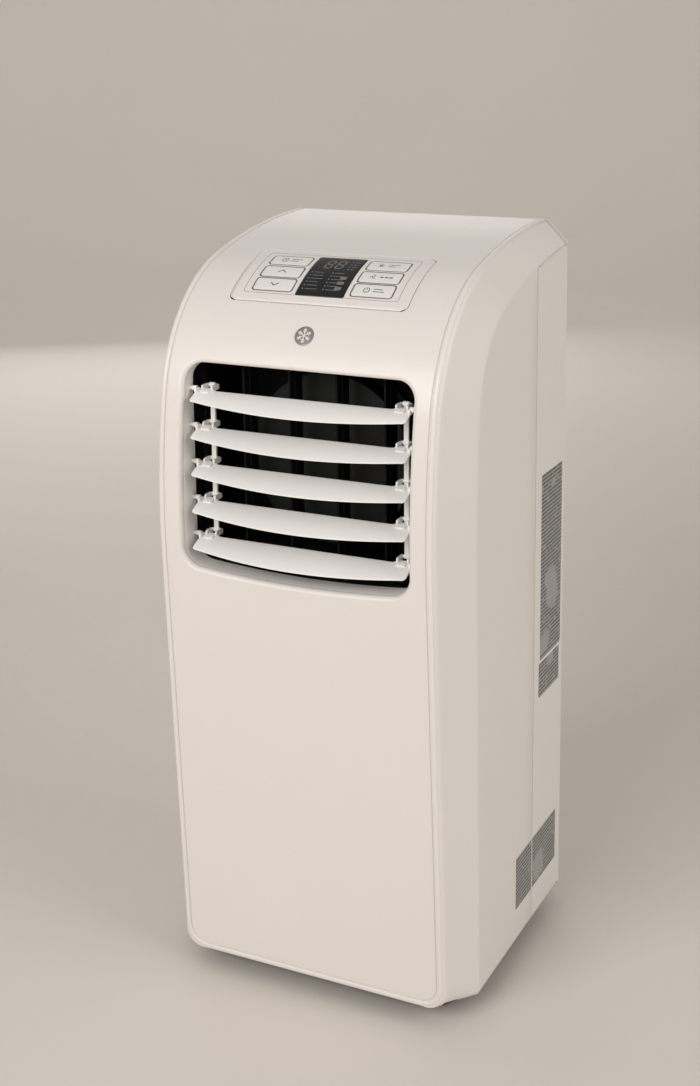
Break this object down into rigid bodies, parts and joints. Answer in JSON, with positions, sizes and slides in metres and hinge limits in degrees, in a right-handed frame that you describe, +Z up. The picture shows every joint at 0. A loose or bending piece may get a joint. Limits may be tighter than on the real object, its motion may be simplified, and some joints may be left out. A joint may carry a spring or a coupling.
{
  "type": "portable air conditioner",
  "caption": "Upright portable air conditioner on swivel casters: bowed front with tilting louvres, keypad on the curved top, hinged rear intake and hose collar.",
  "frame": {"origin": "on the floor, under the centre of the overall box of the cabinet", "axes": "+Z up, the louvred front faces -Y, +X to the right seen from the front"},
  "size_m": [0.3028, 0.295, 0.6949],
  "materials": {
    "panel_white": "glossy pearl-white moulded plastic with a soft clear sheen",
    "case_white": "satin warm-white moulded plastic with a very fine spark texture",
    "louvre_white": "satin white moulded plastic",
    "key_white": "glossy white key cap with a dark grey outline",
    "grille_white": "satin warm-white moulded plastic",
    "base_grey": "matt light grey-white moulded plastic",
    "duct_black": "matt black plastic",
    "display_glass": "glossy black window with faint grey digits",
    "board_green": "green circuit board",
    "badge_grey": "dark bright-metal badge",
    "filter_net": "dark grey frame with a fine net",
    "foam_grey": "light grey moulded tray",
    "blower_plastic": "black moulded plastic",
    "motor_steel": "zinc-plated sheet steel",
    "compressor_black": "black semi-gloss paint on steel",
    "rubber_black": "black rubber",
    "copper": "copper tube",
    "coil_aluminium": "bare aluminium fins",
    "screw_steel": "zinc-plated cross-head screws",
    "caster_grey": "dark grey nylon",
    "caster_tread": "dark grey hard rubber tread"
  },
  "bodies": {
    "cabinet": {"accumulator": "compressor_black", "air_duct": "duct_black", "badge": "badge_grey", "base_pan": "base_grey", "blower_motor": "motor_steel", "blower_scroll": "blower_plastic", "compressor": "compressor_black", "compressor_grommets": "rubber_black", "condenser_coil": "coil_aluminium", "control_box": "motor_steel", "control_plate": "panel_white", "cord_gland": "rubber_black", "display_board": "board_green", "display_window": "display_glass", "divider_tray": "foam_grey", "evaporator_coil": "coil_aluminium", "exhaust_collar": "grille_white", "fan_bracket": "motor_steel", "fan_motor": "motor_steel", "front_panel": "panel_white", "louvre_frame": "louvre_white", "lower_grille": "grille_white", "main_board": "board_green", "rear_cover": "case_white", "rear_grip": "case_white", "rear_screws": "screw_steel", "refrigerant_tubes": "copper", "side_panel_left": "case_white", "side_panel_right": "case_white"},
    "link_rods": {"link_rod_left": "louvre_white", "link_rod_right": "louvre_white"},
    "deflector_link_bar": {"deflector_link": "duct_black"},
    "fan": {"fan_wheel": "blower_plastic"},
    "blower": {"blower_wheel": "blower_plastic"},
    "rear_intake": {"intake_grille": "grille_white", "intake_filter": "filter_net"},
    "drain_stopper": {"drain_plug": "rubber_black"},
    "vane_1": {"vane_1": "louvre_white"},
    "vane_2": {"vane_2": "louvre_white"},
    "vane_3": {"vane_3": "louvre_white"},
    "vane_4": {"vane_4": "louvre_white"},
    "vane_5": {"vane_5": "louvre_white"},
    "deflector_1": {"deflector_1": "duct_black"},
    "deflector_2": {"deflector_2": "duct_black"},
    "deflector_3": {"deflector_3": "duct_black"},
    "deflector_4": {"deflector_4": "duct_black"},
    "key_timer": {"key_timer": "key_white"},
    "key_up": {"key_up": "key_white"},
    "key_down": {"key_down": "key_white"},
    "key_mode": {"key_mode": "key_white"},
    "key_speed": {"key_speed": "key_white"},
    "key_power": {"key_power": "key_white"},
    "caster_swivel_1": {"caster_fork_1": "caster_grey"},
    "caster_roller_1": {"caster_wheel_1": "caster_tread"},
    "caster_swivel_2": {"caster_fork_2": "caster_grey"},
    "caster_roller_2": {"caster_wheel_2": "caster_tread"},
    "caster_swivel_3": {"caster_fork_3": "caster_grey"},
    "caster_roller_3": {"caster_wheel_3": "caster_tread"},
    "caster_swivel_4": {"caster_fork_4": "caster_grey"},
    "caster_roller_4": {"caster_wheel_4": "caster_tread"}
  },
  "joints": [
    {"name": "vane_1_tilt", "type": "hinge", "parent": "cabinet", "child": "vane_1", "pos_m": [0, -0.1216, 0.5641], "axis": [1, 0, 0], "range_deg": [-30, 20]},
    {"name": "vane_2_tilt", "type": "hinge", "parent": "cabinet", "child": "vane_2", "pos_m": [0, -0.1216, 0.5307], "axis": [1, 0, 0], "range_deg": [-30, 20]},
    {"name": "vane_3_tilt", "type": "hinge", "parent": "cabinet", "child": "vane_3", "pos_m": [0, -0.1216, 0.4973], "axis": [1, 0, 0], "range_deg": [-30, 20]},
    {"name": "vane_4_tilt", "type": "hinge", "parent": "cabinet", "child": "vane_4", "pos_m": [0, -0.1216, 0.4639], "axis": [1, 0, 0], "range_deg": [-30, 20]},
    {"name": "vane_5_tilt", "type": "hinge", "parent": "cabinet", "child": "vane_5", "pos_m": [0, -0.1216, 0.4305], "axis": [1, 0, 0], "range_deg": [-30, 20]},
    {"name": "link_rods_follow", "type": "hinge", "parent": "vane_1", "child": "link_rods", "pos_m": [0, -0.1096, 0.5655], "axis": [1, 0, 0], "range_deg": [-20, 30]},
    {"name": "deflector_1_turn", "type": "hinge", "parent": "cabinet", "child": "deflector_1", "pos_m": [-0.069, -0.0886, 0.497], "axis": [0, 0, 1], "range_deg": [-35, 35]},
    {"name": "deflector_2_turn", "type": "hinge", "parent": "cabinet", "child": "deflector_2", "pos_m": [-0.023, -0.0886, 0.497], "axis": [0, 0, 1], "range_deg": [-35, 35]},
    {"name": "deflector_3_turn", "type": "hinge", "parent": "cabinet", "child": "deflector_3", "pos_m": [0.023, -0.0886, 0.497], "axis": [0, 0, 1], "range_deg": [-35, 35]},
    {"name": "deflector_4_turn", "type": "hinge", "parent": "cabinet", "child": "deflector_4", "pos_m": [0.069, -0.0886, 0.497], "axis": [0, 0, 1], "range_deg": [-35, 35]},
    {"name": "deflector_link_follow", "type": "hinge", "parent": "deflector_1", "child": "deflector_link_bar", "pos_m": [-0.069, -0.0786, 0.409], "axis": [0, 0, 1], "range_deg": [-35, 35]},
    {"name": "fan_spin", "type": "hinge", "parent": "cabinet", "child": "fan", "pos_m": [0, -0.0446, 0.497], "axis": [0, 1, 0], "continuous": true},
    {"name": "blower_spin", "type": "hinge", "parent": "cabinet", "child": "blower", "pos_m": [-0.038, 0.0654, 0.303], "axis": [0, 1, 0], "continuous": true},
    {"name": "rear_intake_swing", "type": "hinge", "parent": "cabinet", "child": "rear_intake", "pos_m": [0, 0.1294, 0.613], "axis": [1, 0, 0], "range_deg": [0, 45]},
    {"name": "drain_stopper_pull", "type": "slide", "parent": "cabinet", "child": "drain_stopper", "axis": [0, 1, 0], "range_m": [0, 0.02]},
    {"name": "key_timer_press", "type": "slide", "parent": "cabinet", "child": "key_timer", "axis": [0, 0.3242, -0.946], "range_m": [0, 0.0008], "stiffness_N_per_m": 1500, "springref_m": -0.0004},
    {"name": "key_up_press", "type": "slide", "parent": "cabinet", "child": "key_up", "axis": [0, 0.4492, -0.8934], "range_m": [0, 0.0008], "stiffness_N_per_m": 1500, "springref_m": -0.0004},
    {"name": "key_down_press", "type": "slide", "parent": "cabinet", "child": "key_down", "axis": [0, 0.56, -0.8285], "range_m": [0, 0.0008], "stiffness_N_per_m": 1500, "springref_m": -0.0004},
    {"name": "key_mode_press", "type": "slide", "parent": "cabinet", "child": "key_mode", "axis": [0, 0.3242, -0.946], "range_m": [0, 0.0008], "stiffness_N_per_m": 1500, "springref_m": -0.0004},
    {"name": "key_speed_press", "type": "slide", "parent": "cabinet", "child": "key_speed", "axis": [0, 0.4492, -0.8934], "range_m": [0, 0.0008], "stiffness_N_per_m": 1500, "springref_m": -0.0004},
    {"name": "key_power_press", "type": "slide", "parent": "cabinet", "child": "key_power", "axis": [0, 0.56, -0.8285], "range_m": [0, 0.0008], "stiffness_N_per_m": 1500, "springref_m": -0.0004},
    {"name": "caster_1_swivel", "type": "hinge", "parent": "cabinet", "child": "caster_swivel_1", "pos_m": [-0.098, -0.0766, 0.033], "axis": [0, 0, 1], "continuous": true},
    {"name": "caster_1_roll", "type": "hinge", "parent": "caster_swivel_1", "child": "caster_roller_1", "pos_m": [-0.098, -0.0676, 0.015], "axis": [1, 0, 0], "continuous": true},
    {"name": "caster_2_swivel", "type": "hinge", "parent": "cabinet", "child": "caster_swivel_2", "pos_m": [0.098, -0.0766, 0.033], "axis": [0, 0, 1], "continuous": true},
    {"name": "caster_2_roll", "type": "hinge", "parent": "caster_swivel_2", "child": "caster_roller_2", "pos_m": [0.098, -0.0676, 0.015], "axis": [1, 0, 0], "continuous": true},
    {"name": "caster_3_swivel", "type": "hinge", "parent": "cabinet", "child": "caster_swivel_3", "pos_m": [-0.098, 0.0874, 0.033], "axis": [0, 0, 1], "continuous": true},
    {"name": "caster_3_roll", "type": "hinge", "parent": "caster_swivel_3", "child": "caster_roller_3", "pos_m": [-0.098, 0.0964, 0.015], "axis": [1, 0, 0], "continuous": true},
    {"name": "caster_4_swivel", "type": "hinge", "parent": "cabinet", "child": "caster_swivel_4", "pos_m": [0.098, 0.0874, 0.033], "axis": [0, 0, 1], "continuous": true},
    {"name": "caster_4_roll", "type": "hinge", "parent": "caster_swivel_4", "child": "caster_roller_4", "pos_m": [0.098, 0.0964, 0.015], "axis": [1, 0, 0], "continuous": true}
  ],
  "couplings": [
    {"joint": "vane_2_tilt", "follows": "vane_1_tilt", "ratio": 1},
    {"joint": "vane_3_tilt", "follows": "vane_1_tilt", "ratio": 1},
    {"joint": "vane_4_tilt", "follows": "vane_1_tilt", "ratio": 1},
    {"joint": "vane_5_tilt", "follows": "vane_1_tilt", "ratio": 1},
    {"joint": "link_rods_follow", "follows": "vane_1_tilt", "ratio": -1},
    {"joint": "deflector_2_turn", "follows": "deflector_1_turn", "ratio": 1},
    {"joint": "deflector_3_turn", "follows": "deflector_1_turn", "ratio": 1},
    {"joint": "deflector_4_turn", "follows": "deflector_1_turn", "ratio": 1},
    {"joint": "deflector_link_follow", "follows": "deflector_1_turn", "ratio": -1}
  ]
}
